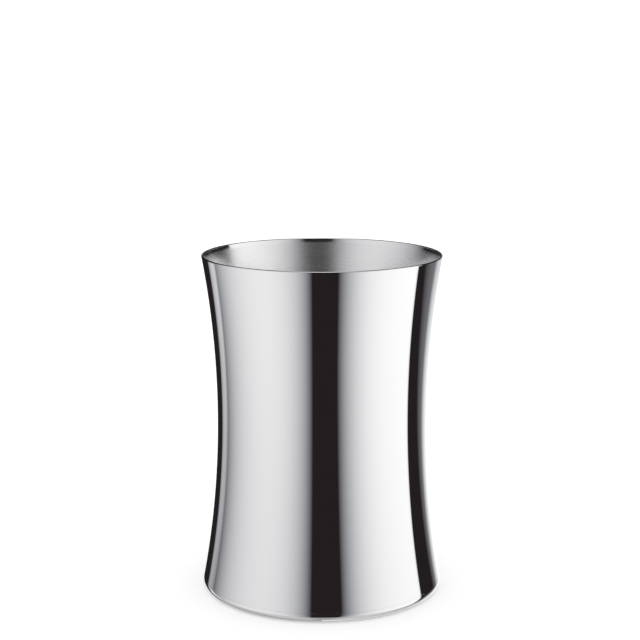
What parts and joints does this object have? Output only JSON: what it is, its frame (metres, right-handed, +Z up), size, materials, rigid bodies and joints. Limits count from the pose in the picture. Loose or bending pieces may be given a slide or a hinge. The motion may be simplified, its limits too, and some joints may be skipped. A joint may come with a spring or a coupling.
{
  "type": "champagne bucket",
  "caption": "Round waisted double-walled champagne bucket in polished steel, with a thin rounded lip, a sealed air gap, a rounded foot and a rubber ring under its base.",
  "frame": {"origin": "centre of the foot ring's lower face, on the table under the bucket", "axes": "+Z up along the bucket's axis of symmetry; X and Y are equal, because every piece is round about Z"},
  "size_m": [0.167, 0.167, 0.235],
  "materials": {
    "mirror_steel": "stainless steel, mirror polished",
    "satin_steel": "stainless steel, polished at the mouth and satin with fine turning lines below",
    "base_steel": "stainless steel, polished rounded foot and fine spun lines underneath",
    "ring_rubber": "matt black rubber",
    "plug_plastic": "matt dark grey moulded plastic",
    "spacer_foam": "white closed-cell foam"
  },
  "bodies": {
    "root": {"outer_shell": "mirror_steel", "inner_liner": "satin_steel", "lip_weld_bead": "mirror_steel", "base_seam_bead": "mirror_steel", "base_pan": "base_steel", "foot_ring": "ring_rubber", "vent_plug": "plug_plastic", "liner_spacer": "spacer_foam"}
  },
  "joints": []
}
